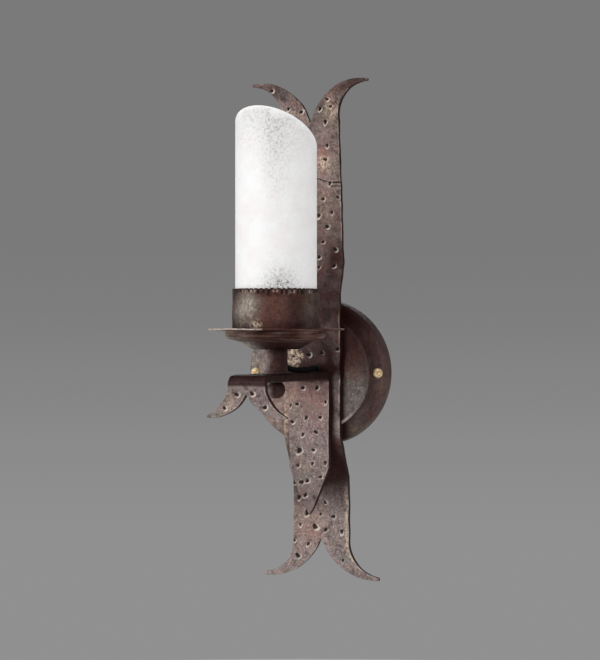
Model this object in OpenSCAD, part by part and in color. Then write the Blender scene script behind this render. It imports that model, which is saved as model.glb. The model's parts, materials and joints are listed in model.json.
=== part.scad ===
// Torch sconce. A forged strap with forked ends lies over a stepped wall rose. A forged arm
// with a forked drop carries a dished pan, a fluted cup and a slant-cut tube of glass.
// X runs to the viewer's right, Y into the wall and Z up. The origin is the centre of the
// rose on the wall's face. "Depth" is always the distance in front of the wall.

/* [Rose] */
// Outer diameter of the wall rose
rose_d = 117; // [116:1:140]
// Depth of the rose's outer step
step_depth = 16.5; // [9:0.1:16.5]
// Diameter of the raised boss
boss_d = 94; // [90:1:98]
// Depth of the boss's front face
boss_depth = 21.2; // [20:0.1:28]
// Thickness of the rose's sheet
rose_t = 1.2; // [0.8:0.1:1.6]
// Radius of the rose's pressed edges
rose_edge_r = 3; // [1.8:0.1:3]

/* [Rose screws] */
// Thread diameter of the rose's screws
screw_d = 4; // [3:0.5:5]
// Length of the screws' shanks
screw_l = 9; // [5:0.5:10]
// Diameter of the screws' domed heads
screw_head_d = 8; // [7:0.5:9]
// Height of the screws' domed heads
screw_head_h = 2.9; // [2:0.1:3.4]
// Width of the driver slot
driver_slot_w = 1.2; // [0.8:0.1:1.6]
// Depth of the driver slot
driver_slot_h = 1.2; // [0.6:0.1:1.6]

/* [Wall strip] */
// Width of the wall strip
strip_w = 20; // [18:1:24]
// Thickness of the wall strip
strip_t = 2; // [1.5:0.1:2.5]
// Distance from each rose screw back to the strip's flat middle
strip_step = 15.5; // [14:0.5:17]
// Length of the sloping joggle at each end of the strip
strip_slope = 6; // [4:0.5:7]
// Distance between the centres of the wall slots
fixing_spacing = 50; // [48:1:54]
// Width of each wall slot
fixing_d = 5.5; // [4:0.1:6]
// Whole length of each wall slot
fixing_l = 14; // [8:1:15]
// Diameter of the hole for the supply cable
supply_d = 9; // [7:0.5:10]
// Place of the supply hole across the strip
supply_x = 5; // [4:0.5:6]

/* [Back strap] */
// Width of the back strap
strap_w = 48; // [44:1:54]
// Thickness of the back strap
strap_t = 4.5; // [3:0.1:5]
// Depth of the strap's rear face near its lower end
strap_low = 1; // [0.5:0.1:3]
// Depth of the strap's rear face just above the rose
strap_dip = 14.2; // [13:0.1:18]
// Depth of the strap's rear face at its upper tips
strap_top = 28; // [20:0.1:34]
// Height of the notch between the upper leaves
upper_notch = 197.5; // [180:0.5:205]
// Depth below the origin of the notch between the lower leaves
lower_notch = 133.8; // [125:0.1:140]
// Depth below the origin where the strap has come back to the wall
strap_low_z = 84; // [78:1:92]
// Depth below the origin where the strap's lower end turns parallel to the wall
strap_settle_z = 108; // [100:1:116]
// Distance above the boss where the strap turns back towards the wall
strap_turn_rise = 17; // [14:0.5:20]
// Length of the strap's slope above that turn
strap_turn_h = 23; // [18:0.5:28]
// Radius of the strap's bends
strap_bend_r = 8; // [5:0.5:10]

/* [Strap leaves] */
// Distance of each upper leaf's tip from the middle
upper_tip = 49.5; // [46:0.5:54]
// Distance of each upper crown's centre from the middle
upper_crown_x = 42.5; // [40:0.1:45]
// Drop of each upper crown's centre below the notch
upper_crown_drop = 9.5; // [7:0.1:12]
// Radius of the hollow under each upper leaf
upper_hollow_r = 25.4; // [22:0.1:27]
// Rise of the hollow's centre above the upper notch
upper_hollow_rise = 5.9; // [4:0.1:9]
// Distance of each lower leaf's tip from the middle
lower_tip = 49.5; // [46:0.5:54]
// Distance of each lower crown's centre from the middle
lower_crown_x = 45.5; // [43:0.1:48]
// Height of each lower crown's centre above the lower notch
lower_crown_rise = 16.2; // [14:0.1:18]
// Radius of the hollow over each lower leaf
lower_hollow_r = 28.2; // [26:0.1:30]
// Drop of the hollow's centre below the lower notch
lower_hollow_drop = 1.5; // [0.5:0.1:3]

/* [Arm] */
// Height of the arm's top face
arm_z = 1; // [-4:0.5:4]
// Thickness of the arm's forged bar
arm_t = 5.5; // [4:0.1:7]
// Width of the arm and its leg at the strap
arm_w = 33.4; // [30:0.2:38]
// Width of the arm at its front bend
arm_front_w = 30; // [27:0.2:34]
// Depth of the arm's front face
arm_depth = 151.6; // [146:0.2:170]
// Radius of the arm's two bends, outside
arm_bend_r = 6; // [5.6:0.1:8]
// Height below the arm's top where the leg starts to taper
leg_shoulder = 75.5; // [60:0.5:85]
// Height below the arm's top of the leg's point
leg_length = 113.5; // [100:0.5:125]
// Height below the arm's top of the notch in the front fork
fork_notch = 13.3; // [11:0.1:17]
// Distance of each front fork's tip from the middle
fork_tip = 32; // [29:0.5:35]
// Distance of each fork crown's centre from the middle
fork_crown_x = 28.6; // [26:0.1:32]
// Height of each fork crown's centre above the fork's notch
fork_crown_rise = 13.9; // [12:0.1:16]
// Distance of each fork hollow's centre from the middle
fork_hollow_x = 46.9; // [45:0.1:48]
// Radius of the hollow outside each fork leaf
fork_hollow_r = 34.1; // [32:0.1:36]
// Height of the hollow's centre above the fork's notch
fork_hollow_rise = 14; // [12:0.5:16]

/* [Arm fixing] */
// Thread diameter of the studs behind the leg
stud_d = 5; // [4:0.5:6]
// Length of the studs behind the leg
stud_l = 14; // [12:0.5:16]
// Height below the origin of the upper stud
stud_drop = 18; // [16:0.5:20]
// Distance between the two studs
stud_pitch = 20; // [15:0.5:22]

/* [Stem] */
// Depth of the stem's axis
stem_depth = 96.7; // [88:0.1:110]
// Diameter of the stem tube
stem_d = 17.4; // [16:0.1:20]
// Height of the stem tube
stem_h = 16.5; // [14:0.5:24]
// Diameter of the washer under the stem
washer_d = 20; // [18:0.5:24]
// Thickness of the washer under the stem
washer_t = 2; // [1:0.1:3]
// Diameter of the ball under the arm
ball_d = 14; // [12:0.2:16]
// Distance from the arm's underside to the ball's centre
ball_drop = 6.4; // [5:0.1:6.8]
// Thread diameter of the ball's stud
ball_stud_d = 6; // [5:0.5:7]

/* [Pans] */
// Thickness of the pans' sheet
pan_t = 1.2; // [0.8:0.1:1.6]
// Diameter of the flat foot of the under dish
dish_foot_d = 36; // [30:1:44]
// Diameter of the under dish
dish_d = 54; // [48:1:60]
// Height of the under dish
dish_h = 5.5; // [4:0.1:7]
// Width of the drip pan's rim
rim_w = 12.8; // [8:0.2:18]
// Gap between the drip pan's bowl and the cup
bowl_gap = 5.6; // [5:0.1:9]
// Height of the drip pan's sloping floor
bowl_slope_h = 3; // [2:0.1:4]
// Height of the drip pan's bowl up to its rim
bowl_h = 8; // [6:0.1:10]
// Radius at the foot of the bowl's wall
bowl_corner_r = 4.5; // [3:0.5:5]
// Rise of the drip pan's rim from the bowl outwards
rim_rise = 1; // [0.5:0.1:2]

/* [Cup] */
// Gap between the cup's wall and the glass
cup_gap = 0.8; // [0.5:0.1:2]
// Height of the cup
cup_h = 38.8; // [30:0.2:48]
// Thickness of the cup's wall
cup_t = 1.4; // [1:0.1:1.5]
// Thickness of the cup's floor
cup_floor_t = 3; // [2.6:0.1:4]

/* [Glass] */
// Diameter of the glass tube
glass_d = 61.6; // [58:0.2:62]
// Thickness of the glass
glass_t = 3; // [2:0.1:4]
// Mean height of the glass
glass_h = 150.7; // [140:0.1:175]
// Angle of the slanting cut
cut_angle = 30.5; // [20:0.5:40]
// Turn of the cut's highest point from straight ahead
cut_turn = 8; // [0:0.5:15]
// Thickness of the felt ring under the glass
felt_t = 1.5; // [1:0.1:2]
// Width of the felt ring
felt_w = 6; // [4:0.5:8]

/* [Lampholder] */
// Outer diameter of the hollow nipple's thread
nipple_d = 10; // [9:0.5:12]
// Bore of the hollow nipple
nipple_bore = 7; // [6.5:0.1:7.2]
// Height of the nut on the nipple
nut_h = 3; // [2:0.1:4]
// Outer diameter of the lampholder
holder_d = 25; // [24:0.5:30]
// Height of the lampholder's base
holder_base_h = 11; // [10:0.5:14]
// Height of the lampholder's shell
holder_shell_h = 33; // [30:0.5:36]
// Thickness of the lampholder's shell
holder_t = 1.5; // [1:0.1:2]
// Height of the lampholder's solid core
insert_h = 12; // [9:0.5:14]
// Height of the brass thread for the lamp
lamp_thread_h = 18; // [14:0.5:18]

/* [Lamp] */
// Diameter of the lamp's cap
lamp_cap_d = 14; // [13.6:0.1:14.2]
// Height of the lamp's cap
lamp_cap_h = 17; // [15:0.5:19]
// Largest diameter of the lamp's glass
lamp_d = 35; // [30:0.5:40]
// Height of the lamp's glass
lamp_h = 81; // [70:0.5:90]

/* [Clearances] */
// Gap between pieces that move against each other
move_gap = 0.3; // [0.2:0.05:0.4]
// Gap round threads and pins in their holes
thread_gap = 0.1; // [0.05:0.05:0.2]
// Gap round studs and screws in clearance holes
hole_gap = 0.3; // [0.2:0.05:0.4]

/* [Hidden] */
$fn = 64;
cut = 1;

// Sizes that follow the glass
cup_d = glass_d + 2 * (cup_gap + cup_t);
bowl_d = cup_d + 2 * bowl_gap;
pan_d = bowl_d + 2 * rim_w;

// Rose and wall strip
screw_x = (rose_d + boss_d) / 4;
strip_flat = screw_x - strip_step;
ring_back = step_depth - rose_t;
strip_foot = ring_back - strip_t;
strip_end = rose_d / 2 - 2.5;

// Lead hole and its rubber grommet
lead_d = 4.2;
lead_x = 4;
lead_z = arm_z + 2.4;
lead_back = boss_depth - 5.7;
lead_front = stem_depth - 4.6;
grommet_d = 7;
grommet_flange_d = 11;
grommet_flange_t = 1.2;
strap_front = boss_depth + strap_t;

// Strap: rear face as depth and height, and its leaves
strap_turn_z = boss_d / 2 + strap_turn_rise;
strap_path = [
    [strap_low, -1.5 * lower_notch], [strap_low, -strap_settle_z],
    [1.4 * strap_low + 0.8, -strap_low_z], [boss_depth, -boss_d / 2 - 1],
    [boss_depth, strap_turn_z], [strap_dip, strap_turn_z + strap_turn_h],
    [strap_top, 1.22 * upper_notch]
];

// Stack on the stem's axis, from the arm up
stem_z = arm_z + washer_t;
stem_top = stem_z + stem_h;
dish_top = stem_top + dish_h;
cup_z = dish_top + pan_t;
cup_foot_r = dish_d / 2 - 0.5;
cup_slope_h = (cup_d / 2 - cup_foot_r) * bowl_slope_h / (bowl_d / 2 - dish_d / 2) + 0.4;
cup_floor = cup_z + cup_floor_t;
felt_z = cup_floor + move_gap;
glass_z = felt_z + felt_t + move_gap;
holder_z = cup_floor + nut_h;
nipple_hold = 5;
nipple_z = stem_z + 8.5;
shell_z = holder_z + holder_base_h;
core_top = shell_z + insert_h;
contact_t = 1.5;
contact_d = 6;
tip_z = core_top + contact_t + move_gap;
tip_h = 2;
insulator_h = 2;
cap_z = tip_z + tip_h + insulator_h;
lamp_z = cap_z + lamp_cap_h;
thread_wall = 0.8;

// Terminal block on the strip
block_w = 15;
block_h = 12;
block_depth = 12;
block_x = -9.5;
pole_depth = strip_t + 6;
pole_pitch = 5;
earth_x = 14;
core_d = 1.4;

// ---- Geometry helpers ----

function unit(v) = v / norm(v);
function left_of(v) = [-v[1], v[0]];
function flipped(points) = [for (i = [len(points) - 1 : -1 : 0]) points[i]];
// Closed outline from its right half, which starts and may end on the centre line
function both_sides(right) =
    concat(right, [for (p = flipped(right)) if (p[0] > 0.001) [-p[0], p[1]]]);
function arc(centre, r, from, to, steps = 16) =
    [for (k = [0 : steps]) let (a = from + (to - from) * k / steps)
        centre + r * [cos(a), sin(a)]];

// Arc that rounds the corner b between a and c
function corner(a, b, c, r) =
    let (u = unit(a - b), v = unit(c - b), half = acos(u * v) / 2,
         centre = b + unit(u + v) * r / sin(half),
         s = b + u * r / tan(half) - centre, e = b + v * r / tan(half) - centre,
         first = atan2(s[1], s[0]),
         turn = (atan2(e[1], e[0]) - first + 540) % 360 - 180)
    arc(centre, r, first, first + turn, 5);
function rounded(path, r) =
    concat([path[0]],
           [for (i = [1 : len(path) - 2]) each corner(path[i - 1], path[i], path[i + 1], r)],
           [path[len(path) - 1]]);

// Closed band between an open path and its offset to the left
function beside(path, i, d) =
    let (last = len(path) - 1,
         a = left_of(unit(path[max(i, 1)] - path[max(i, 1) - 1])),
         b = left_of(unit(path[min(i + 1, last)] - path[min(i + 1, last) - 1])))
    path[i] + d * (a + b) / (1 + a * b);
function band(path, d) =
    concat(path, [for (i = [len(path) - 1 : -1 : 0]) beside(path, i, d)]);

// Right half of a fork, from its notch to the bar's edge, drawn pointing up.
// crown is the centre of the leaf's outer arc and hollow that of the arc beneath it.
function leaf(start, crown, crown_r, tip, hollow, hollow_r, end_angle) =
    concat(arc(crown, crown_r, start, acos((tip - crown[0]) / crown_r)),
           arc(hollow, hollow_r, acos((tip - hollow[0]) / hollow_r), end_angle));
// Angle at which an arc round a centre leaves the centre line at a height
function notch_angle(crown, notch) = atan2(notch - crown[1], -crown[0]);

// Places a child's +Z along the way out of the wall, at a point on the front
module out_at(x, z, depth) translate([x, -depth, z]) rotate([90, 0, 0]) children();
// Outline in X and Z, made solid between two depths
module front_prism(near, far) out_at(0, 0, near) linear_extrude(far - near) children();
// Outline in depth and Z, made solid across X
module side_prism(width)
    rotate([90, 0, -90]) linear_extrude(width, center = true) children();
// Outline in X and depth, made solid between two heights
module plan_prism(low, high)
    translate([0, 0, low]) linear_extrude(high - low) mirror([0, 1, 0]) children();
module on_stem(z) translate([0, -stem_depth, z]) children();
module ring(outer, inner, h) difference() {
    cylinder(d = outer, h = h);
    translate([0, 0, -cut]) cylinder(d = inner, h = h + 2 * cut);
}
module hex_nut(flats, bore, h) difference() {
    cylinder(d = flats / cos(30), h = h, $fn = 6);
    translate([0, 0, -cut]) cylinder(d = bore, h = h + 2 * cut);
}

// ---- Cord helpers ----

// Smooth curve through points chosen by hand
function spline(p, i, t) =
    let (a = p[max(i - 1, 0)], b = p[i], c = p[i + 1], d = p[min(i + 2, len(p) - 1)])
    b + t * ((c - a) / 2 + t * (a - 2.5 * b + 2 * c - d / 2 + t * (1.5 * (b - c) + (d - a) / 2)));
function smooth(p, steps) =
    concat([for (i = [0 : len(p) - 2]) for (k = [0 : steps - 1]) spline(p, i, k / steps)],
           [p[len(p) - 1]]);
function heading(p, i) = unit(p[min(i + 1, len(p) - 1)] - p[max(i - 1, 0)]);
function carried(p, i, seed) =
    let (s = i == 0 ? seed : carried(p, i - 1, seed), t = heading(p, i))
    unit(s - (s * t) * t);

// Round cord along points given as X, depth and Z
module cord(points, d, sides, steps = 3) {
    path = smooth([for (p = points) [p[0], -p[1], p[2]]], steps);
    n = len(path);
    rings = [for (i = [0 : n - 1])
        let (s = carried(path, i, [1, 0, 0.02]), w = cross(heading(path, i), s))
        for (k = [0 : sides - 1])
            path[i] + d / 2 * (cos(360 * k / sides) * s + sin(360 * k / sides) * w)];
    walls = [for (i = [0 : n - 2]) for (k = [0 : sides - 1])
        let (a = i * sides + k, b = i * sides + (k + 1) % sides)
        each [[a, a + sides, b], [b, a + sides, b + sides]]];
    first = [for (k = [0 : sides - 1]) k];
    last = [for (k = [sides - 1 : -1 : 0]) (n - 1) * sides + k];
    polyhedron(rings, concat([first], walls, [last]));
}

// ---- Wall strip and rose ----

module wall_strip() color("silver") difference() {
    plan_prism(-strip_w / 2, strip_w / 2)
        polygon(band([[-strip_end, strip_foot], [-strip_flat - strip_slope, strip_foot],
                      [-strip_flat, 0], [strip_flat, 0],
                      [strip_flat + strip_slope, strip_foot], [strip_end, strip_foot]], strip_t));
    for (side = [-1, 1]) {
        out_at(side * screw_x, 0, -cut) cylinder(d = screw_d + 2 * thread_gap, h = boss_depth);
        for (end = [-1, 1])
            out_at(side * fixing_spacing / 2 + end * (fixing_l - fixing_d) / 2, 0, -cut)
                cylinder(d = fixing_d, h = strip_t + 2 * cut);
        translate([side * fixing_spacing / 2 - (fixing_l - fixing_d) / 2, -strip_t - cut,
                   -fixing_d / 2])
            cube([fixing_l - fixing_d, strip_t + 2 * cut, fixing_d]);
    }
    out_at(supply_x, 0, -cut) cylinder(d = supply_d, h = strip_t + 2 * cut);
    out_at(earth_x, 0, -cut) cylinder(d = 4 + 2 * thread_gap, h = strip_t + 2 * cut);
    out_at(block_x, 0, -cut) cylinder(d = 3 + 2 * thread_gap, h = strip_t + 2 * cut);
}

module earth_screw() color("goldenrod") {
    out_at(earth_x, 0, strip_t) cylinder(d = 7, h = 2.5);
    out_at(earth_x, 0, 0.2) cylinder(d = 4, h = strip_t);
}

module rose_profile()
    polygon(band(concat([[rose_d / 2, 0]],
                        corner([rose_d / 2, 0], [rose_d / 2, step_depth],
                               [boss_d / 2, step_depth], rose_edge_r),
                        [[boss_d / 2, step_depth]],
                        corner([boss_d / 2, step_depth], [boss_d / 2, boss_depth],
                               [0, boss_depth], rose_edge_r),
                        [[0, boss_depth]]), rose_t));

module stud_places() for (i = [0, 1]) out_at(0, -stud_drop - i * stud_pitch, 0) children();

module canopy() color("#46352f") difference() {
    out_at(0, 0, 0) rotate_extrude() rose_profile();
    for (side = [-1, 1])
        out_at(side * screw_x, 0, 0) cylinder(d = screw_d + 2 * hole_gap, h = boss_depth);
    out_at(lead_x, lead_z, 0) cylinder(d = grommet_d + 2 * thread_gap, h = boss_depth + cut);
    stud_places() cylinder(d = stud_d + 2 * hole_gap, h = boss_depth + cut);
}

module canopy_screws() color("gold")
    for (side = [-1, 1]) out_at(side * screw_x, 0, step_depth) difference() {
        sphere_r = (pow(screw_head_d / 2, 2) + pow(screw_head_h, 2)) / (2 * screw_head_h);
        union() {
            intersection() {
                translate([0, 0, screw_head_h - sphere_r]) sphere(r = sphere_r);
                cylinder(d = screw_head_d, h = screw_head_h);
            }
            translate([0, 0, -screw_l]) cylinder(d = screw_d, h = screw_l + screw_head_h / 2);
        }
        rotate([0, 0, 35 * side])
            translate([-screw_head_d, -driver_slot_w / 2, screw_head_h - driver_slot_h])
                cube([2 * screw_head_d, driver_slot_w, driver_slot_h + cut]);
    }

module cable_grommet() color("#181818")
    out_at(lead_x, lead_z, boss_depth - rose_t - grommet_flange_t) difference() {
        union() {
            cylinder(d = grommet_flange_d, h = grommet_flange_t);
            cylinder(d = grommet_d, h = grommet_flange_t + rose_t + strap_t);
        }
        translate([0, 0, -cut])
            cylinder(d = lead_d + 4 * thread_gap, h = strap_front + 2 * cut);
    }

// ---- Strap and arm ----

module strap_outline() {
    upper_crown = [upper_crown_x, upper_notch - upper_crown_drop];
    upper = leaf(notch_angle(upper_crown, upper_notch), upper_crown,
                 norm(upper_crown - [0, upper_notch]), upper_tip,
                 [strap_w / 2 + upper_hollow_r, upper_notch + upper_hollow_rise],
                 upper_hollow_r, 180);
    lower_crown = [lower_crown_x, lower_notch - lower_crown_rise];
    lower = leaf(notch_angle(lower_crown, lower_notch), lower_crown,
                 norm(lower_crown - [0, lower_notch]), lower_tip,
                 [strap_w / 2 + lower_hollow_r, lower_notch + lower_hollow_drop],
                 lower_hollow_r, 180);
    polygon(both_sides(concat(upper, flipped([for (p = lower) [p[0], -p[1]]]))));
}

module back_strap() color("#5a4238") difference() {
    intersection() {
        front_prism(0, 2 * boss_depth) strap_outline();
        side_prism(4 * strap_w) polygon(band(rounded(strap_path, strap_bend_r), -strap_t));
    }
    out_at(lead_x, lead_z, 0) cylinder(d = grommet_d + 2 * thread_gap, h = 2 * boss_depth);
    stud_places() cylinder(d = stud_d + 2 * hole_gap, h = 2 * boss_depth);
}

// Leg: straight sides, then a slightly swelling taper to a point
module leg_outline() {
    taper = leg_length - leg_shoulder;
    side = [for (k = [0 : 10]) let (t = k / 10)
        [arm_w / 2 * pow(1 - t, 0.85), arm_z - leg_shoulder - taper * t]];
    polygon(both_sides(concat([[arm_w / 2, arm_z + cut]], side)));
}

module fork_outline() {
    crown = [fork_crown_x, fork_notch - fork_crown_rise];
    half = leaf(notch_angle(crown, fork_notch), crown, norm(crown - [0, fork_notch]), fork_tip,
                [fork_hollow_x, fork_notch - fork_hollow_rise], fork_hollow_r,
                180 - acos((fork_hollow_x - arm_front_w / 2) / fork_hollow_r));
    polygon(both_sides(concat([for (p = half) [p[0], arm_z - p[1]]],
                              [[arm_front_w / 2, arm_z + cut]])));
}

module arm_outline() {
    near = strap_front + arm_bend_r;
    far = arm_depth - arm_bend_r;
    polygon([[-arm_w / 2, near], [arm_w / 2, near],
             [arm_front_w / 2, far], [-arm_front_w / 2, far]]);
}

module arm_bracket() color("#5a4238") difference() {
    intersection() {
        side_prism(4 * arm_w)
            polygon(band(rounded([[strap_front, arm_z - leg_length - cut], [strap_front, arm_z],
                                  [arm_depth, arm_z], [arm_depth, arm_z - 60]],
                                 arm_bend_r), -arm_t));
        union() {
            front_prism(strap_front - cut, strap_front + arm_bend_r + cut) leg_outline();
            plan_prism(arm_z - arm_t - cut, arm_z + cut) arm_outline();
            front_prism(arm_depth - arm_bend_r - cut, arm_depth + cut) fork_outline();
        }
    }
    on_stem(arm_z - arm_t - cut)
        cylinder(d = ball_stud_d + 2 * hole_gap, h = arm_t + 2 * cut);
}

module arm_studs() color("silver")
    stud_places() translate([0, 0, strap_front - stud_l]) cylinder(d = stud_d, h = stud_l);

module stud_washers() color("silver")
    stud_places() translate([0, 0, boss_depth - rose_t - 1])
        ring(2 * stud_d, stud_d + 2 * thread_gap, 1);

module stud_nuts() color("silver")
    stud_places() translate([0, 0, boss_depth - rose_t - 1 - 0.8 * stud_d])
        hex_nut(1.6 * stud_d, stud_d + 2 * thread_gap, 0.8 * stud_d);

// ---- Wiring ----

module terminal_block() color("ivory") difference() {
    translate([block_x - block_w / 2, -strip_t - block_depth, -block_h / 2])
        cube([block_w, block_depth, block_h]);
    for (pole = [-1, 0, 1]) translate([block_x + pole * pole_pitch, 0, 0]) {
        translate([0, -pole_depth, -block_h / 2 - cut]) cylinder(d = 2.6, h = block_h + 2 * cut);
        out_at(0, 4, pole_depth) cylinder(d = 2.6, h = block_depth);
    }
    out_at(block_x, 0, 0) cylinder(d = 3 + 2 * thread_gap, h = 20);
}

module terminal_screws() color("silver")
    for (pole = [-1, 0, 1])
        out_at(block_x + pole * pole_pitch, 4, strip_t + 8) cylinder(d = 2.4, h = 3.4);

module block_screw() color("silver") {
    out_at(block_x, 0, 0.2) cylinder(d = 3, h = strip_t + 5);
}

// Depth at a share of the way from the strap's face to the stem's axis
function along(t) = strap_front + t * (stem_depth - strap_front);

module lead_sleeve() color("#111111")
    cord([[lead_x, lead_back, lead_z], [lead_x, boss_depth - rose_t, lead_z],
          [lead_x, strap_front + 1.3, lead_z], [4.8, along(0.145), lead_z - 0.1],
          [6.2, along(0.3), lead_z - 0.2], [6.6, along(0.455), lead_z - 0.2],
          [5, along(0.596), lead_z - 0.1], [2.4, along(0.708), lead_z + 1],
          [0.6, along(0.807), stem_z + 4], [0, along(0.877), stem_z + 5.3],
          [0, lead_front, stem_z + 5.4]], lead_d, 10);

// One core's way from the sleeve's front end up through the nipple into the holder
module holder_run(side)
    cord([[side, lead_front + 0.3, stem_z + 5.4], [side, lead_front + 1.1, stem_z + 5.5],
          [side, lead_front + 2.7, stem_z + 6.5], [1.1 * side, stem_depth - 0.5, stem_z + 9],
          [1.2 * side, stem_depth, stem_top + 0.5], [1.3 * side, stem_depth, holder_z - 0.2],
          [2.6 * side, stem_depth, shell_z - 3.7], [3.5 * side, stem_depth, shell_z + 1.2]],
         core_d, 6);

module live_core() color("saddlebrown") {
    cord([[lead_x - 1, lead_back - 0.2, lead_z + 0.1], [lead_x - 1.1, lead_back - 1, lead_z + 0.3],
          [1.6, lead_back - 2.9, lead_z + 3.8], [-1, pole_depth + 2.4, block_h / 2 + 4.6],
          [-4, pole_depth + 0.4, block_h / 2 + 4.4],
          [block_x + pole_pitch, pole_depth, block_h / 2 + 0.1]], core_d, 6);
    holder_run(1);
}

module neutral_core() color("royalblue") {
    cord([[lead_x + 0.8, lead_back - 0.2, lead_z + 0.1],
          [lead_x + 0.7, lead_back - 1, lead_z + 0.3],
          [3.6, lead_back - 2.9, lead_z + 5.2], [-1, pole_depth + 2, block_h / 2 + 9],
          [-7.5, pole_depth + 0.4, block_h / 2 + 7],
          [block_x, pole_depth, block_h / 2 + 0.1]], core_d, 6);
    holder_run(-1);
}

module earth_core() color("yellowgreen")
    cord([[block_x + pole_pitch, pole_depth, -block_h / 2 - 0.1],
          [-4, pole_depth + 0.4, -block_h / 2 - 4], [3, pole_depth + 1, -block_h / 2 - 7],
          [11, pole_depth, -block_h / 2 - 3], [earth_x, pole_depth - 2, -4],
          [earth_x, strip_t + 3.3, 0]], core_d, 6);

// ---- Stem, pans and cup ----

module stem_washer() color("#4a3a34")
    on_stem(arm_z) ring(washer_d, ball_stud_d + 2 * hole_gap, washer_t);

module stem_tube() color("#4a3a34") difference() {
    on_stem(stem_z) cylinder(d = stem_d, h = stem_h);
    on_stem(stem_z - cut) cylinder(d = ball_stud_d + 2 * thread_gap, h = 4 + cut);
    on_stem(stem_z + 3.2) cylinder(d = nipple_d + 2 * thread_gap, h = stem_h);
    translate([0, -stem_depth, stem_z + 5.4]) rotate([-90, 0, 0])
        cylinder(d = lead_d + 6 * thread_gap, h = stem_d);
}

module ball_finial() color("#5a4238") {
    under = arm_z - arm_t;
    difference() {
        on_stem(under - ball_drop) sphere(d = ball_d);
        on_stem(under) translate([-ball_d, -ball_d, 0]) cube(2 * ball_d);
    }
    on_stem(under - ball_drop) cylinder(d = ball_stud_d, h = ball_drop + arm_t + washer_t + 2.9);
}

module under_dish() color("#4a3a34")
    on_stem(stem_top) rotate_extrude() intersection() {
        polygon(band([[nipple_d / 2 + hole_gap, 0], [dish_foot_d / 2, 0], [dish_d / 2, dish_h]],
                     pan_t));
        square([dish_d, dish_h]);
    }

module drip_pan() color("#6b4e3c")
    on_stem(dish_top) rotate_extrude()
        polygon(band([[nipple_d / 2 + hole_gap, 0], [dish_d / 2, 0],
                      each corner([dish_d / 2, 0], [bowl_d / 2, bowl_slope_h],
                                  [bowl_d / 2, bowl_h], bowl_corner_r),
                      [bowl_d / 2, bowl_h], [pan_d / 2, bowl_h + rim_rise]], pan_t));

// The cup's foot is drawn in so that it clears the pan's sloping floor
module glass_cup() color("#5d4136") on_stem(cup_z) rotate_extrude()
    polygon([[nipple_d / 2 + hole_gap, 0], [cup_foot_r, 0], [cup_d / 2, cup_slope_h],
             [cup_d / 2, cup_h], [cup_d / 2 - cup_t, cup_h], [cup_d / 2 - cup_t, cup_floor_t],
             [nipple_d / 2 + hole_gap, cup_floor_t]]);

module hollow_nipple() color("silver")
    on_stem(nipple_z) ring(nipple_d, nipple_bore, holder_z + nipple_hold - nipple_z);

module nipple_nut() color("silver")
    on_stem(cup_floor) hex_nut(1.4 * nipple_d, nipple_d + 2 * thread_gap, nut_h);

// ---- Lampholder and lamp ----

module holder_base() color("#e8e2d4") difference() {
    on_stem(holder_z) cylinder(d = holder_d, h = holder_base_h);
    on_stem(holder_z - cut) cylinder(d = nipple_d + 2 * thread_gap, h = nipple_hold + 2 * cut);
    on_stem(holder_z + nipple_hold + 0.5)
        cylinder(d = holder_d - 6 * holder_t, h = holder_base_h);
}

module holder_insert() color("#f0ece2") difference() {
    core_d_outer = holder_d - 2 * holder_t - 2 * thread_gap;
    on_stem(shell_z) cylinder(d = core_d_outer, h = insert_h + lamp_thread_h);
    on_stem(core_top)
        cylinder(d = lamp_cap_d + 2 * thread_wall + 2 * move_gap + 2 * thread_gap,
                 h = lamp_thread_h + cut);
    for (side = [-1, 1])
        translate([side * 3.5, -stem_depth, shell_z - cut]) cylinder(d = 2.6, h = 4);
}

module holder_shell() color("#efe9dc")
    on_stem(shell_z) ring(holder_d, holder_d - 2 * holder_t, holder_shell_h);

module lamp_thread() color("goldenrod")
    on_stem(core_top)
        ring(lamp_cap_d + 2 * thread_wall + 2 * move_gap, lamp_cap_d + 2 * move_gap,
             lamp_thread_h);

module centre_contact() color("goldenrod")
    on_stem(core_top) cylinder(d = contact_d, h = contact_t);

module lamp_cap() color("gainsboro")
    on_stem(cap_z) cylinder(d = lamp_cap_d, h = lamp_cap_h);

module cap_insulator() color("#202020")
    on_stem(cap_z - insulator_h) cylinder(d1 = contact_d, d2 = lamp_cap_d - 3, h = insulator_h);

module cap_contact() color("silver")
    on_stem(tip_z) cylinder(d = contact_d - 1, h = tip_h);

// Candle shape: a narrow neck, a full belly low down and a round tip
module lamp_glass() color("white")
    on_stem(lamp_z) rotate_extrude()
        polygon(concat([[0, 0], [lamp_cap_d / 2 - 0.4, 0]],
                       [for (k = [1 : 18]) let (t = k / 18,
                           swell = pow(sin(180 * pow(t, 0.72)), 0.8))
                           [max(0, (lamp_cap_d / 2 - 0.4) * (1 - t)
                                   + (lamp_d / 2 - 0.31 * lamp_cap_d) * swell),
                            lamp_h * t]]));

// ---- Glass ----

module felt_ring() color("dimgray")
    on_stem(felt_z) ring(glass_d - 1, glass_d - 1 - 2 * felt_w, felt_t);

module glass_shade() color("white", 0.8) difference() {
    rise = glass_d / 2 * tan(cut_angle);
    on_stem(glass_z) ring(glass_d, glass_d - 2 * glass_t, glass_h + rise);
    on_stem(glass_z + glass_h) rotate([-cut_angle, 0, -cut_turn])
        translate([-glass_d, -glass_d, 0]) cube([2 * glass_d, 2 * glass_d, 2 * glass_d]);
}

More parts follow.
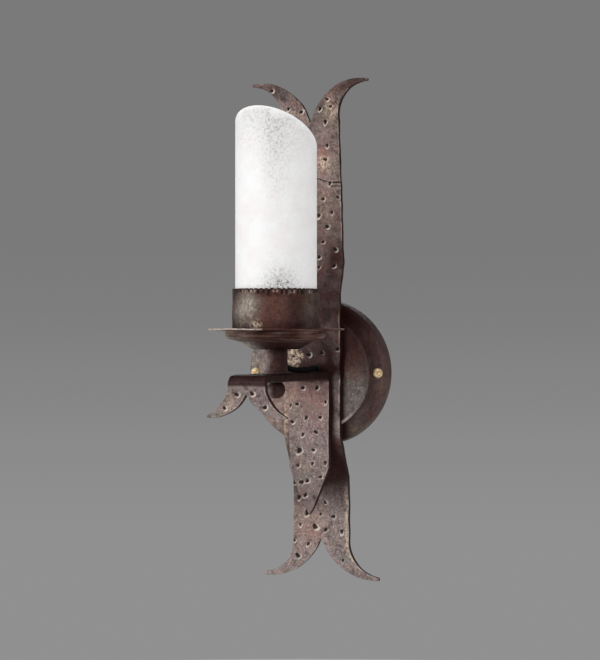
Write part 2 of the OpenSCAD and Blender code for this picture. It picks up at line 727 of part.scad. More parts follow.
wall_strip();
earth_screw();
canopy();
canopy_screws();
cable_grommet();
back_strap();
arm_bracket();
arm_studs();
stud_washers();
stud_nuts();
terminal_block();
terminal_screws();
block_screw();
lead_sleeve();
live_core();
neutral_core();
earth_core();
stem_washer();
stem_tube();
ball_finial();
under_dish();
drip_pan();
glass_cup();
hollow_nipple();
nipple_nut();
holder_base();
holder_insert();
holder_shell();
lamp_thread();
centre_contact();
lamp_cap();
cap_insulator();
cap_contact();
lamp_glass();
felt_ring();
glass_shade();
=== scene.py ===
"""Torch sconce: a forged strap and arm on a round rose, with pans, a cup and a frosted glass tube.

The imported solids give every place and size. Sizes are in millimetres until they reach a mesh.
X runs to the viewer's right, Y into the wall and Z up. Depth is the distance out of the wall.
"""
import json
import math
import random

import bmesh
import bpy
import numpy as np
from mathutils import Matrix, Vector, noise

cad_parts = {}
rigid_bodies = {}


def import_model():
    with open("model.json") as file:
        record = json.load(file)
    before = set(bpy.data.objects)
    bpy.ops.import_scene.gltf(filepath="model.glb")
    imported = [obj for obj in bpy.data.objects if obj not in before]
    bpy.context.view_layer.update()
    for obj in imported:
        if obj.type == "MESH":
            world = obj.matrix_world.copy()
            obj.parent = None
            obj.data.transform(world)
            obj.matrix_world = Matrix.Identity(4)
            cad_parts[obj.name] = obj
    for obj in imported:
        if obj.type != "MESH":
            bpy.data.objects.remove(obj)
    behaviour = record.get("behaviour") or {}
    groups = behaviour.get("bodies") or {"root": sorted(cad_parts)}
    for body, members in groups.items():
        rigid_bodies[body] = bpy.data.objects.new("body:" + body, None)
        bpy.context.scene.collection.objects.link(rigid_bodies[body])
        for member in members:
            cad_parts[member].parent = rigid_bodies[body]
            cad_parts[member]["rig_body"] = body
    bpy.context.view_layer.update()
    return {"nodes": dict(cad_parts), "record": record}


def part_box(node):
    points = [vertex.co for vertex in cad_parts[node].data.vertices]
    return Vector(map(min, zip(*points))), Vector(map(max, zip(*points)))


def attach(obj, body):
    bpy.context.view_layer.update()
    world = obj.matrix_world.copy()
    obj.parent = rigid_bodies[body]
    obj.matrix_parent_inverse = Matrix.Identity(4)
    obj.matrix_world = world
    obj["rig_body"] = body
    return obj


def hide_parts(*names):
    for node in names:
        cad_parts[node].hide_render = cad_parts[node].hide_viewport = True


MM = 0.001
WELD = 1e-6  # points closer than this, in metres, are one point

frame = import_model()
nodes = frame["nodes"]
slot_of = {part["node"]: part["material_slot"] for part in frame["record"]["subparts"]}
stem_low, stem_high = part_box("stem_tube")
STEM_DEPTH = -(stem_low.y + stem_high.y) / 2 / MM


def height_of(node):
    """Lowest and highest point of a solid, in millimetres."""
    low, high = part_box(node)
    return low.z / MM, high.z / MM


def placed(name, data):
    """New object in the scene, at the origin."""
    thing = bpy.data.objects.new(name, data)
    bpy.context.collection.objects.link(thing)
    return thing


def mesh_from(bm, name):
    """Turns a bmesh into a mesh, and frees it."""
    mesh = bpy.data.meshes.new(name)
    bm.to_mesh(mesh)
    bm.free()
    return mesh


def settled(shape):
    """Mesh of an object as its modifiers or its curve leave it."""
    return bpy.data.meshes.new_from_object(
        shape.evaluated_get(bpy.context.evaluated_depsgraph_get()))


# ---- Camera, light and surroundings ----

CAMERA_TURN = math.radians(22.5)
LOOK_AT = Vector((-20.5, 0, 34)) * MM
CAMERA_DISTANCE = 1.32
CAMERA_LENS = 88.36

camera = placed("camera", bpy.data.cameras.new("camera"))
camera.data.lens = CAMERA_LENS
camera.data.clip_start = 0.05
camera.location = LOOK_AT + CAMERA_DISTANCE * Vector(
    (math.sin(CAMERA_TURN), -math.cos(CAMERA_TURN), 0))
camera.rotation_euler = (math.radians(90), 0, CAMERA_TURN)
bpy.context.scene.camera = camera
bpy.context.scene.view_settings.view_transform = "Standard"


def linear(colour):
    """sRGB hex to linear RGBA."""
    parts = [int(colour[i:i + 2], 16) / 255 for i in (1, 3, 5)]
    return [c / 12.92 if c <= 0.04045 else ((c + 0.055) / 1.055) ** 2.4 for c in parts] + [1]


def add(tree, kind, sockets=None, **settings):
    """One shader node with its settings, and its sockets set or linked."""
    node = tree.nodes.new("ShaderNode" + kind)
    for name, value in settings.items():
        setattr(node, name, value)
    for name, value in (sockets or {}).items():
        if isinstance(value, bpy.types.NodeSocket):
            tree.links.new(value, node.inputs[name])
        else:
            node.inputs[name].default_value = value
    return node


def soft_lamp(name, place, size, watts):
    """Square studio softbox, aimed at the middle of the object. Place and size are in metres."""
    lamp = bpy.data.lights.new(name, "AREA")
    lamp.size, lamp.energy = size, watts
    box = placed(name, lamp)
    box.location = place
    box.rotation_euler = (LOOK_AT - box.location).to_track_quat("-Z", "Y").to_euler()


soft_lamp("key", (-0.85, -1.35, 0.48), 0.5, 5.7)
soft_lamp("low", (-1.1, -0.8, -0.25), 0.6, 3)
soft_lamp("fill", (1.2, -1.3, 0.15), 1.0, 6.6)
soft_lamp("top", (-0.1, -0.5, 1.4), 0.9, 2.5)
soft_lamp("back", (-0.6, 1.3, 0.5), 1.2, 4)

# The surroundings are a grey gradient to the camera, in reflections and through glass, and an even
# soft light otherwise.
LOW_GREY, HIGH_GREY, SOFT_LIGHT = "#909090", "#7A7A7A", 0.7
GRADIENT_FOOT, GRADIENT_TOP = -0.14, 0.06

world = bpy.data.worlds.new("studio")
bpy.context.scene.world = world
world.use_nodes = True
sky = world.node_tree
sky.nodes.clear()
ray = add(sky, "LightPath")
heading = add(sky, "SeparateXYZ", {0: add(sky, "TexCoord").outputs["Generated"]})
climb = add(sky, "MapRange", {"Value": heading.outputs["Z"], "From Min": GRADIENT_FOOT,
                              "From Max": GRADIENT_TOP}, interpolation_type="SMOOTHSTEP")
grey = add(sky, "Mix", {0: climb.outputs[0], 6: linear(LOW_GREY), 7: linear(HIGH_GREY)},
           data_type="RGBA")
seen = add(sky, "Math", {0: ray.outputs["Is Camera Ray"], 1: ray.outputs["Is Glossy Ray"]},
           operation="MAXIMUM")
seen = add(sky, "Math", {0: seen.outputs[0], 1: ray.outputs["Is Transmission Ray"]},
           operation="MAXIMUM")
shade = add(sky, "Mix", {0: seen.outputs[0], 6: (SOFT_LIGHT, SOFT_LIGHT, SOFT_LIGHT, 1),
                         7: grey.outputs[2]}, data_type="RGBA")
add(sky, "OutputWorld",
    {"Surface": add(sky, "Background", {"Color": shade.outputs[2]}).outputs[0]})


# ---- Materials ----

def noise_field(tree, size, low, high, detail=3, shift=0.0):
    """Soft-edged mottled mask with grains of about size millimetres."""
    place = add(tree, "TexCoord").outputs["Object"]
    place = add(tree, "Mapping", {"Vector": place, "Location": (shift, -shift, 2 * shift)})
    grain = add(tree, "TexNoise", {"Vector": place.outputs[0], "Scale": 1 / (size * MM),
                                   "Detail": detail, "Roughness": 0.6})
    return add(tree, "MapRange", {"Value": grain.outputs["Fac"], "From Min": low,
                                  "From Max": high}, interpolation_type="SMOOTHSTEP").outputs[0]


def over(tree, under, colour, mask):
    """Lays a colour over what is there, where the mask says."""
    return add(tree, "Mix", {0: mask, 6: under, 7: colour}, data_type="RGBA").outputs[2]


def times(tree, *factors):
    """Product of sockets and numbers."""
    result = factors[0]
    for factor in factors[1:]:
        result = add(tree, "Math", {0: result, 1: factor}, operation="MULTIPLY",
                     use_clamp=True).outputs[0]
    return result


def new_material(name, **constants):
    """Empty material with its shader; constants go on the shader's own sockets."""
    material = bpy.data.materials.new(name)
    material.use_nodes = True
    shader = material.node_tree.nodes["Principled BSDF"]
    for socket, value in constants.items():
        shader.inputs[socket.replace("_", " ")].default_value = value
    return material, material.node_tree, shader


def dressed(tree, shader, base, grain, rough, bumps):
    """Links a colour, a roughness that wanders between two levels, and bumps.

    The bumps are (mask, height in millimetres), one over the other.
    """
    tree.links.new(base, shader.inputs["Base Color"])
    spread = add(tree, "MapRange", {"Value": grain, "To Min": rough[0], "To Max": rough[1]})
    tree.links.new(spread.outputs[0], shader.inputs["Roughness"])
    normal = None
    for mask, height in bumps:
        sockets = {"Height": mask, "Distance": height * MM, "Strength": 1.0}
        if normal:
            sockets["Normal"] = normal
        normal = add(tree, "Bump", sockets).outputs[0]
    tree.links.new(normal, shader.inputs["Normal"])


def forged_patina(name, dark, mid, warm, worn, gilt, fleck=1.7, grime=0.6, sheen=0.3):
    """Hammered steel, oiled and browned: dark in its pits, rubbed bright on its edges, with
    painted light and shade laid on.

    The piece's own attributes say where it is pressed in or stands proud, with painted shade in
    pits and painted highlights on burrs and borders (relief); where it is rubbed pinkish grey, and
    where painted light falls (worn); where it has brassy flecks, and some painted highlights
    (gilt); where it is rusty, and some painted highlights (rosy); and where it is smooth and deep
    red, and where painted shade and shadow fall (maroon).
    The flecks are a little coarser than real ones, so that they show.
    """
    material, tree, shader = new_material(name, Metallic=sheen, Specular_IOR_Level=0.2)
    fields = {key: add(tree, "Attribute", attribute_name=key).outputs["Fac"]
              for key in ("relief", "worn", "gilt", "rosy", "maroon")}

    def grains(size, low, high, detail, shift=0.0):
        return noise_field(tree, size, low, high, detail, shift)

    rubbed = add(tree, "Math", {0: grains(4.5, 0.3, 0.75, 6, 5), 1: 0.45}, operation="ADD",
                 use_clamp=True).outputs[0]
    brassy = add(tree, "Math", {0: fields["gilt"], 1: 0.08}, operation="ADD",
                 use_clamp=True).outputs[0]
    torn = add(tree, "Math", {0: fields["gilt"], 1: 2.0}, operation="POWER").outputs[0]
    # Painted highlight on what stands proud, and painted shade in what is pressed in.
    raised, sunk = (
        add(tree, "MapRange", {"Value": fields["relief"], "From Min": low, "From Max": high}
            ).outputs[0] for low, high in ((0.15, 1), (-0.1, -0.8)))
    base = over(tree, linear(dark), linear(mid), grains(13, 0.4, 0.62, 6))
    for colour, *mask in (
            (warm, 0.75, grains(9, 0.5, 0.68, 4, 3)),
            (worn, fields["worn"], rubbed),
            ("#D6C8C2", fields["worn"], 0.65, grains(1.7, 0.52, 0.64, 5, 29)),
            ("#6E4238", fields["worn"], 0.7, grains(2.3, 0.54, 0.66, 4, 31)),
            ("#6F776A", 0.6, fields["worn"], grains(15, 0.5, 0.7, 3, 37)),
            ("#A2675C", fields["rosy"], grains(3, 0.3, 0.6, 4, 41)),
            (gilt, brassy, grains(fleck, 0.46, 0.68, 4, 7)),
            ("#EDD8C2", torn, grains(2.4, 0.46, 0.53, 5, 47)),
            ("#150E0B", grime, grains(1.3, 0.56, 0.7, 3, 11)),
            ("#2A1E1B", grime, grains(6, 0.52, 0.7, 6, 43)),
            # Deep red, with painted shade and shadow where that field carries it.
            ("#2A0C0B", fields["maroon"], 0.93),
            ("#E6D6CA", raised, 0.85, grains(4, 0.3, 0.55, 4, 13)),
            ("#120A09", sunk, 0.9)):
        base = over(tree, base, linear(colour), times(tree, *mask))
    dressed(tree, shader, base, grains(3, 0.3, 0.7, 4, 17), (0.42, 0.68),
            [(grains(5, 0.2, 0.8, 3, 19), 0.25), (grains(1.4, 0.2, 0.8, 3, 23), 0.12)])
    return material


def moulded(name, colour, rough, grain, **constants):
    """Moulded or extruded plastic, rubber, felt and lamp glass: one colour, satin grain."""
    material, tree, shader = new_material(name, **constants)
    tint = over(tree, linear(colour), [c * 0.8 for c in linear(colour)[:3]] + [1],
                noise_field(tree, 12, 0.35, 0.7, 2, 2))
    dressed(tree, shader, tint, noise_field(tree, 2, 0.3, 0.7, 3, 3), (rough - 0.06, rough + 0.06),
            [(noise_field(tree, grain, 0.3, 0.7, 2, 5), 0.02)])
    return material


def plated(name, colour, dull, rough, metal=1.0):
    """Bright metal with a little tarnish in patches."""
    material, tree, shader = new_material(name, Metallic=metal)
    tint = over(tree, linear(colour), linear(dull), noise_field(tree, 2.5, 0.45, 0.7, 4, 4))
    dressed(tree, shader, tint, noise_field(tree, 0.6, 0.3, 0.7, 3, 6), (rough, rough + 0.16),
            [(noise_field(tree, 0.6, 0.3, 0.7, 2, 8), 0.015)])
    return material


def frosted(name):
    """Blown glass with a white frosted skin: nearly opaque, and mottled grey where painted shade
    is laid on: the lampholder's shadow low down and dim places near the top.
    """
    material, tree, shader = new_material(name, IOR=1.5, Transmission_Weight=0.05,
                                          Sheen_Weight=0.5, Sheen_Roughness=0.4)
    cloudy = add(tree, "Attribute", attribute_name="cloudy").outputs["Fac"]
    specks = add(tree, "MapRange", {"Value": cloudy, "From Min": 0.72, "From Max": 1.0}).outputs[0]
    base = over(tree, linear("#FDFDFD"), linear("#FAF6F6"), noise_field(tree, 14, 0.4, 0.66, 3, 1))
    # Grey mottling and specks laid over the painted shade and shadow.
    for colour, *mask in (
            ("#E2DFDF", cloudy),
            ("#A9ABAB", cloudy, noise_field(tree, 1.8, 0.44, 0.66, 5, 4)),
            ("#5C5C5E", specks, noise_field(tree, 1.4, 0.53, 0.62, 4, 12))):
        base = over(tree, base, linear(colour), times(tree, *mask))
    dressed(tree, shader, base, noise_field(tree, 3, 0.3, 0.7, 3, 7), (0.5, 0.7),
            [(noise_field(tree, 1.5, 0.3, 0.7, 3, 9), 0.04)])
    return material


finishes = {
    "forged_iron": forged_patina("forged_steel_browned_and_rubbed", "#443431", "#78635F",
                                 "#6A3A34", "#A29392", "#BEA27C"),
    "rose_sheet": forged_patina("pressed_steel_browned", "#3A2A2A", "#5A4643", "#563230",
                                "#A3A29A", "#7A6348", 1.7, 0.3, 0.4),
    "pan_sheet": forged_patina("hammered_sheet_browned", "#382624", "#583F39", "#60332B",
                               "#A9A295", "#85572F", 6, 0.3, 0.4),
    "zinc_steel": plated("zinc_plated_steel", "#B9BABA", "#8C8E90", 0.32),
    "raw_brass": plated("turned_brass_tarnished", "#FFE7BE", "#C98F48", 0.22, metal=0.6),
    "nickel_plate": plated("nickel_plated_brass", "#C9C6BE", "#A19E96", 0.2),
    "white_thermoplastic": moulded("moulded_white_thermoplastic", "#E2DED2", 0.42, 0.5),
    "clear_polyamide": moulded("moulded_milky_polyamide", "#D9D5C3", 0.38, 0.5,
                               Transmission_Weight=0.15),
    "black_rubber": moulded("moulded_black_rubber", "#1C1C1C", 0.6, 0.5),
    "black_pvc": moulded("extruded_black_sleeving", "#0E0C0C", 0.75, 0.8,
                         Specular_IOR_Level=0.2),
    "brown_pvc": moulded("extruded_brown_core", "#5B3018", 0.4, 0.6),
    "blue_pvc": moulded("extruded_blue_core", "#2A5AA8", 0.4, 0.6),
    "green_pvc": moulded("extruded_green_yellow_core", "#9CA82C", 0.4, 0.6),
    "black_glass": moulded("black_cap_glass", "#101014", 0.12, 0.8),
    "opal_glass": moulded("opal_lamp_glass", "#F0EFE8", 0.35, 0.8, Transmission_Weight=0.1),
    "grey_felt": moulded("pressed_grey_felt", "#4A4744", 0.95, 0.4),
    "frosted_glass": frosted("frosted_white_glass"),
}


# ---- Making and finishing pieces ----

SHARP = 32  # degrees between two faces that make an edge


def finish(bm, node):
    """Turns a bmesh into the piece that stands for a solid."""
    for edge in bm.edges:
        edge.smooth = edge.calc_face_angle(0) < math.radians(SHARP)
    for face in bm.faces:
        face.smooth = True
    return stand_for(mesh_from(bm, node + "_made"), node)


def stand_for(mesh, node):
    """Puts a finished mesh in the solid's place, on its body and with its finish."""
    piece = placed(mesh.name, mesh)
    mesh.materials.clear()
    mesh.materials.append(finishes[slot_of[node]])
    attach(piece, nodes[node]["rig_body"])
    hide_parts(node)
    return piece


def merged(node):
    """Closed copy of a solid's loose triangles."""
    bm = bmesh.new()
    bm.from_mesh(nodes[node].data)
    bmesh.ops.remove_doubles(bm, verts=bm.verts, dist=WELD)
    return bm


def rounded(bm, edges, width, segments):
    """Rounds edges over a width."""
    bmesh.ops.bevel(bm, geom=edges, offset=width * MM, offset_type="OFFSET", segments=segments,
                    profile=0.5, affect="EDGES", clamp_overlap=True, material=-1)


def ease(bm, width, sharp=SHARP, segments=2):
    """Rounds every edge that is sharper than an angle in degrees."""
    rounded(bm, [e for e in bm.edges if e.calc_face_angle(0) > math.radians(sharp)], width,
            segments)


def on_stem(z):
    """Puts a shape on the stem's axis, with its foot at a height."""
    return Matrix.Translation(Vector((0, -STEM_DEPTH, z)) * MM)


def out_at(x, z):
    """Puts a shape's own +Z along the way out of the wall."""
    return Matrix.Translation(Vector((x, 0, z)) * MM) @ Matrix.Rotation(math.pi / 2, 4, "X")


def turned(profile, place, steps):
    """Closed lathe shape from (radius, height) points."""
    bm = bmesh.new()
    points = [bm.verts.new(Vector((r, 0, z)) * MM) for r, z in profile]
    edges = [bm.edges.new(pair) for pair in zip(points, points[1:] + points[:1])
             if pair[0].co.x > 0 or pair[1].co.x > 0]
    bmesh.ops.spin(bm, geom=points + edges, cent=(0, 0, 0), axis=(0, 0, 1), dvec=(0, 0, 0),
                   angle=2 * math.pi, steps=steps, use_merge=True)
    bmesh.ops.remove_doubles(bm, verts=bm.verts, dist=WELD)
    bmesh.ops.dissolve_degenerate(bm, edges=bm.edges, dist=WELD / 10)
    bmesh.ops.transform(bm, matrix=place, verts=bm.verts)
    bmesh.ops.recalc_face_normals(bm, faces=bm.faces)
    return bm


def set_fields(mesh, **fields):
    """Stores one number per point under each name, for the material to read."""
    for name, values in fields.items():
        mesh.attributes.new(name, "FLOAT", "POINT").data.foreach_set(
            "value", np.asarray(values, np.float32))


def points_of(mesh):
    """Places and normals of a mesh's points, places in millimetres."""
    count = len(mesh.vertices)
    place, normal = np.zeros(3 * count, np.float32), np.zeros(3 * count, np.float32)
    mesh.vertices.foreach_get("co", place)
    mesh.vertex_normals.foreach_get("vector", normal)
    return place.reshape(-1, 3) / MM, normal.reshape(-1, 3)


def bearing(place):
    """Angle of each point round the stem, in degrees: 0 out of the wall, 90 to the right."""
    return np.degrees(np.arctan2(place[:, 0], -place[:, 1] - STEM_DEPTH))


def bulge(mesh):
    """How far each point stands proud of its neighbours, in millimetres."""
    place, normal = points_of(mesh)
    ends = np.zeros(2 * len(mesh.edges), np.int32)
    mesh.edges.foreach_get("vertices", ends)
    a, b = ends.reshape(-1, 2).T
    total, count = np.zeros_like(place), np.zeros(len(place))
    for one, two in ((a, b), (b, a)):
        np.add.at(total, one, place[two])
        np.add.at(count, one, 1)
    return ((place - total / count[:, None]) * normal).sum(1)


def clouds(place, size, shift=0.0):
    """Smooth noise from -1 to 1 with cells of about size millimetres."""
    return np.array([noise.noise(Vector(p) / size + Vector((shift, 2 * shift, -shift)))
                     for p in place.tolist()])


def blotches(across, up, spots):
    """Soft patches from (middle across, middle up, half width, half height, strength)."""
    total = np.zeros(len(across))
    for x, z, wide, high, strength in spots:
        total += strength * np.exp(-((across - x) / wide) ** 2 - ((up - z) / high) ** 2)
    return np.clip(total, 0, 1)


def on_front(place, *spots):
    """Blotches on a front face, in X and Z."""
    return blotches(place[:, 0], place[:, 2], spots)


def round_stem(place, *spots):
    """Blotches round the stem, in degrees and Z."""
    return blotches(bearing(place), place[:, 2], spots)


# ---- Forged strap and arm ----

VOXEL = 0.66
LOW_FRONT, DROP_FRONT = 5.5, 151.6  # depths of the front faces of the strap's foot and the drop
HIGH_FRONT, HIGH_AT, LEAN = 18.7, 87, 0.0902  # and of the strap's upper part, which leans out


def forged_skin(node):
    """Even, slightly rounded skin over a solid, dense enough to be hammered."""
    blank = placed("blank", mesh_from(merged(node), "blank"))
    even = blank.modifiers.new("even", "REMESH")
    even.mode, even.voxel_size = "VOXEL", VOXEL * MM
    soft = blank.modifiers.new("soft", "SMOOTH")
    soft.factor, soft.iterations = 0.5, 2
    mesh = settled(blank)
    mesh.name = node + "_forged"
    bpy.data.objects.remove(blank)
    return mesh


def scattered(seed, left, right, low, high, spacing, taken=()):
    """Uneven grid of punch marks, spacing millimetres apart and clear of those in taken."""
    dice = random.Random(seed)
    spots = []
    rows = max(1, round((high - low) / spacing))
    columns = max(1, round((right - left) / spacing))
    for row in range(rows):
        for column in range(columns):
            x = left + (column + 0.5 + dice.uniform(-0.3, 0.3)) * (right - left) / columns
            z = low + (row + 0.5 + dice.uniform(-0.3, 0.3)) * (high - low) / rows
            if all(math.hypot(x - s[0], z - s[1]) > 0.6 * spacing for s in taken):
                spots.append((x, z))
    return spots


def punch(across, up, allowed, spots, sink, mark, seed):
    """Presses marks into sink, the shape, and into the pit colour, with painted shade on each
    pit's upper left and a painted highlight on its burr to the lower right. Each punch leans and
    throws up a burr.

    A spot is (across, up), or (across, up, radius).
    """
    dice = random.Random(seed)
    for spot in spots:
        x, z = spot[:2]
        radius = spot[2] if len(spot) > 2 else dice.uniform(1.35, 1.85)
        lean = dice.uniform(-0.5, 0.5) - math.pi / 4
        away = np.hypot(across - x, up - z) / radius
        turn = np.arctan2(up - z, across - x)
        away *= 1 + 0.14 * np.cos(2 * turn + 5 * lean) + 0.08 * np.cos(3 * turn + 9 * lean)
        side = np.cos(turn - lean)
        bowl = np.clip(1.15 - away ** 2 - 0.25 * side * away, 0, 1) * allowed
        burr = np.exp(-((away - 1.2) / 0.42) ** 2) * np.clip(0.35 + 0.75 * side, 0, 1) * allowed
        sink += -0.5 * radius * bowl + 0.2 * burr
        # Painted shade on each pit's upper left, and a painted highlight on its burr.
        mark += -dice.uniform(0.45, 1) * (1 - 0.5 * side * away) * bowl
        mark += dice.uniform(0.6, 1.5) * burr


def forge(node, seed, marks, worn, gilt, rosy, maroon, borders, still=None, draw=None):
    """Hammered piece with punch marks and colour fields, each of them a function of its points."""
    mesh = forged_skin(node)
    place, normal = points_of(mesh)
    # Side faces, seen edge on, get painted shade: deep red, darker, and with little of the rubbed,
    # brassy and rusty colours.
    edge_on = np.clip(1.7 - 2.4 * np.abs(normal[:, 1]), 0, 1)
    if draw is not None:
        place[:, 1] = draw(place)
    sink, mark = np.zeros(len(place)), np.zeros(len(place))
    waves = 0.32 * clouds(place, 13, seed) + 0.12 * clouds(place, 5, seed + 3)
    if still is not None:
        waves *= 1 - still(place, normal)
    for number, (across, up, allowed, spots) in enumerate(marks(place, normal)):
        punch(across, up, allowed, spots, sink, mark, seed + number)
    sway = np.stack([clouds(place, 12, seed + 5), np.zeros(len(place)),
                     clouds(place, 12, seed + 8)], 1)
    moved = place + 0.45 * sway + (waves + sink)[:, None] * normal
    mesh.vertices.foreach_set("co", (moved * MM).astype(np.float32).ravel())
    mesh.update()
    # Only the border that faces out of the wall is rubbed bright, with a painted highlight; the
    # side faces get painted shade.
    proud = np.clip(8 * bulge(mesh), -1, 1)
    rub = np.where(proud > 0, np.clip(-1.8 * normal[:, 1], 0, 1) * borders(place, normal), 1)
    shaded = maroon(place)
    set_fields(mesh, relief=np.clip(mark + proud * rub * (1 - shaded) - 0.3 * edge_on, -1, 1),
               worn=worn(place) * (1 - 0.8 * edge_on), gilt=gilt(place) * (1 - edge_on),
               rosy=rosy(place) * (1 - edge_on), maroon=np.clip(shaded + 0.9 * edge_on, 0, 1))
    for face in mesh.polygons:
        face.use_smooth = True
    stand_for(mesh, node)


SIDES = {"front": (1, -1), "rear": (1, 1), "top": (2, 1), "under": (2, -1)}


def facing(normal, side):
    """Mask of the points whose surface faces one side."""
    axis, sign = SIDES[side]
    return np.clip(2.5 * sign * normal[:, axis] - 1, 0, 1)


# Punch marks as they lie on the strap, the leg and the drop, in X and Z.
STRAP_MARKS = [
    (18, 210), (15, 216), (9, 209), (13, 198), (14, 180), (12, 169), (15, 150), (22, 139),
    (9, 138), (16, 127), (5, 125), (12, 116), (8, 104), (18, 98), (4, 92), (4, 84), (17, 85),
    (-32, 225), (-18, 210), (-7, 207), (-15, 13), (-2, 14), (9, 16), (22, 19),
    (-19, -102), (-23, -90), (-12, -114, 2.3), (-18, -124), (-5, -125, 2.3), (4, -105),
    (0, -115), (11, -116), (4, -127), (18, -128), (-23, -137), (-11, -139), (-20, -149, 2.2),
    (19, -151)]
LEG_MARKS = [
    (-5, -12), (7, -12), (-16, -26), (-10, -25), (14, -23), (-14, -39), (-2, -36), (10, -35),
    (-5, -49), (6, -47), (-8, -62, 2.4), (4, -61), (-9, -74), (3, -72), (14, -71), (-1, -86),
    (10, -82), (-6, -87), (-3, -97)]
FORK_MARKS = [(-7, -13), (-17, -23), (5, -12), (15, -22)]


def crease(place, normal):
    """A chisel line runs across the strap below its upper fork, and doubles at the right."""
    x, z = place[:, 0], place[:, 2]
    lines = []
    for start, drop, depth in ((2, 0, 0.3), (17, 0, 0.35), (16, 3, 0.45)):
        away = (z - 154 + drop + 0.19 * (x - 4) - 0.7 * np.sin(x / 3)) / 0.45
        lines.append((np.where(x > start, away, 9), 0 * z, depth * facing(normal, "front"),
                      [(0, 0, 1.6)]))
    return lines


def strap_marks(place, normal):
    """What is punched where, as (across, up, mask, spots)."""
    across, up = place[:, 0], place[:, 2]
    hidden = (scattered(3, -22, 2, 48, 200, 14, STRAP_MARKS)
              + scattered(5, -20, 8, -60, 0, 14, STRAP_MARKS))
    return [(across, up, facing(normal, "front"), STRAP_MARKS + hidden),
            (across, up, facing(normal, "rear") * (np.abs(up - 2) > 52),
             scattered(9, -22, 22, -150, 205, 17))] + crease(place, normal)


def arm_marks(place, normal):
    """So for the leg, the drop, and the arm's top, underside and back."""
    across, depth, up = place[:, 0], -place[:, 1], place[:, 2]
    front = facing(normal, "front")
    return [(across, up, front * (depth < 45), LEG_MARKS),
            (across, up, front * (depth > 140), FORK_MARKS),
            (across, depth, facing(normal, "top"), scattered(11, -13, 13, 40, 80, 13)
             + scattered(12, -12, 12, 110, 142, 13)),
            (across, depth, facing(normal, "under"), scattered(13, -13, 13, 40, 84, 14)),
            (across, up, facing(normal, "rear") * (depth > 130),
             scattered(14, -15, 15, -30, -8, 13))]


def strap_seat(place, normal):
    """The strap's rear face stays flat where it lies on the rose."""
    return np.clip(2 * normal[:, 1], 0, 1) * (np.abs(place[:, 2]) < 50)


def thinning(place, root, reach, most):
    """Mask that is nothing up to root from the middle, and most at reach beyond it."""
    return most * np.clip((np.abs(place[:, 0]) - root) / reach, 0, 1)


def strap_draw(place):
    """The strap's four points are drawn out thinner towards their tips."""
    front = np.where(place[:, 2] > 0, HIGH_FRONT + LEAN * (place[:, 2] - HIGH_AT), LOW_FRONT)
    return place[:, 1] - thinning(place, 27, 20, 0.35) * (place[:, 1] + front)


def fork_draw(place):
    """So are the two points of the arm's drop."""
    thin = thinning(place, 18, 12, 0.25) * (place[:, 1] < -140)
    return place[:, 1] - thin * (place[:, 1] + DROP_FRONT)


def strap_borders(place, normal):
    """Rubbed bright here and there, with a painted highlight that is least on the left."""
    return np.clip(0.7 + clouds(place, 9, 40), 0, 1) * (0.55 + 0.45 * (normal[:, 0] > 0))


def arm_borders(place, normal):
    """The leg's slanted left border lies close on the strap and isn't rubbed."""
    tucked = (place[:, 0] < 0) * (place[:, 2] < -66)
    return strap_borders(place, normal) * (1 - tucked)


HOLLOW_X, HOLLOW_Z, HOLLOW_R = 52.2, -135.3, 28.2  # arc of the strap's lower right border


def rubbed_border(place):
    """Painted highlight: a bright line along the strap's lower right border."""
    x, z = place[:, 0], place[:, 2]
    below = np.clip(HOLLOW_Z - z, 0, 27)
    border = HOLLOW_X - np.sqrt(HOLLOW_R ** 2 - below ** 2)
    return (np.exp(-((border - 1.7 - x) / 1.6) ** 2) * np.clip((-z - 84) / 14, 0, 1)
            * np.clip((z + 158) / 8, 0, 1) * (x > 20))


def strap_worn(place):
    # Rubbed patches, with painted highlights on the strip left of the leg, on the right border
    # beside the leg and along the lower right border.
    return np.clip(0.1 + on_front(
        place, (0, -132, 60, 36, 0.85), (8, -98, 20, 12, 0.4), (10, 160, 40, 34, 0.5),
        (21, -24, 2.6, 24, 0.45), (22.5, -44, 3, 7, 0.9), (-22, -34, 7, 34, 1.0),
        (21, -8, 3, 8, 0.3), (30, -152, 14, 9, 0.45), (-30, -152, 14, 9, 0.2),
        (-48, -163, 12, 7, 0.6), (48, -166, 8, 6, 0.6), (-26, 212, 16, 14, 0.3))
        + rubbed_border(place), 0, 1)


def strap_gilt(place):
    """Brassy scale: one bright torn patch by the stem, faint ones elsewhere, and painted
    highlights on the strip left of the leg and along the lower right border.
    """
    torn = 1 + 1.6 * clouds(place, 3.2, 17)
    patch = on_front(place, (-16, 12, 5, 6, 3), (-17, 7, 4, 3, 2), (-11, 14, 3, 3.5, 2))
    return np.clip(patch * torn + 0.9 * rubbed_border(place) + on_front(
        place, (-5, -121, 10, 12, 0.45), (15, 165, 7, 9, 0.5), (19, 207, 9, 12, 0.6),
        (10, 135, 12, 24, 0.35), (-22, -38, 4, 26, 0.8), (-20, -118, 8, 14, 0.3),
        (9, 167, 4, 5, 0.9), (-14, 203, 9, 10, 0.5)), 0, 1)


def strap_rosy(place):
    # Rust, with a painted highlight on the strip left of the leg.
    return on_front(place, (10, 170, 6, 11, 0.85), (-10, -128, 14, 14, 0.45),
                    (-20, -34, 8, 26, 0.6), (8, 142, 7, 5, 0.4), (18, -57, 6, 5, 0.7))


def strap_maroon(place):
    # Deep red on the upper strap, and painted shade: the pan's shadow and the dark band just above
    # the arm, the leg's shadow at its right, and the lower strap where it bends back.
    return on_front(
        place, (6, 68, 40, 18, 0.6), (17, 92, 8, 12, 0.85), (6, 50, 30, 14, 0.4),
        (4, -76, 40, 25, 1.25), (10, 18, 18, 16, 0.65), (6, 3, 30, 5, 0.9),
        (15.6, -24, 3.6, 30, 1.5), (-34, 226, 22, 12, 0.38), (38, 230, 18, 12, 0.4))


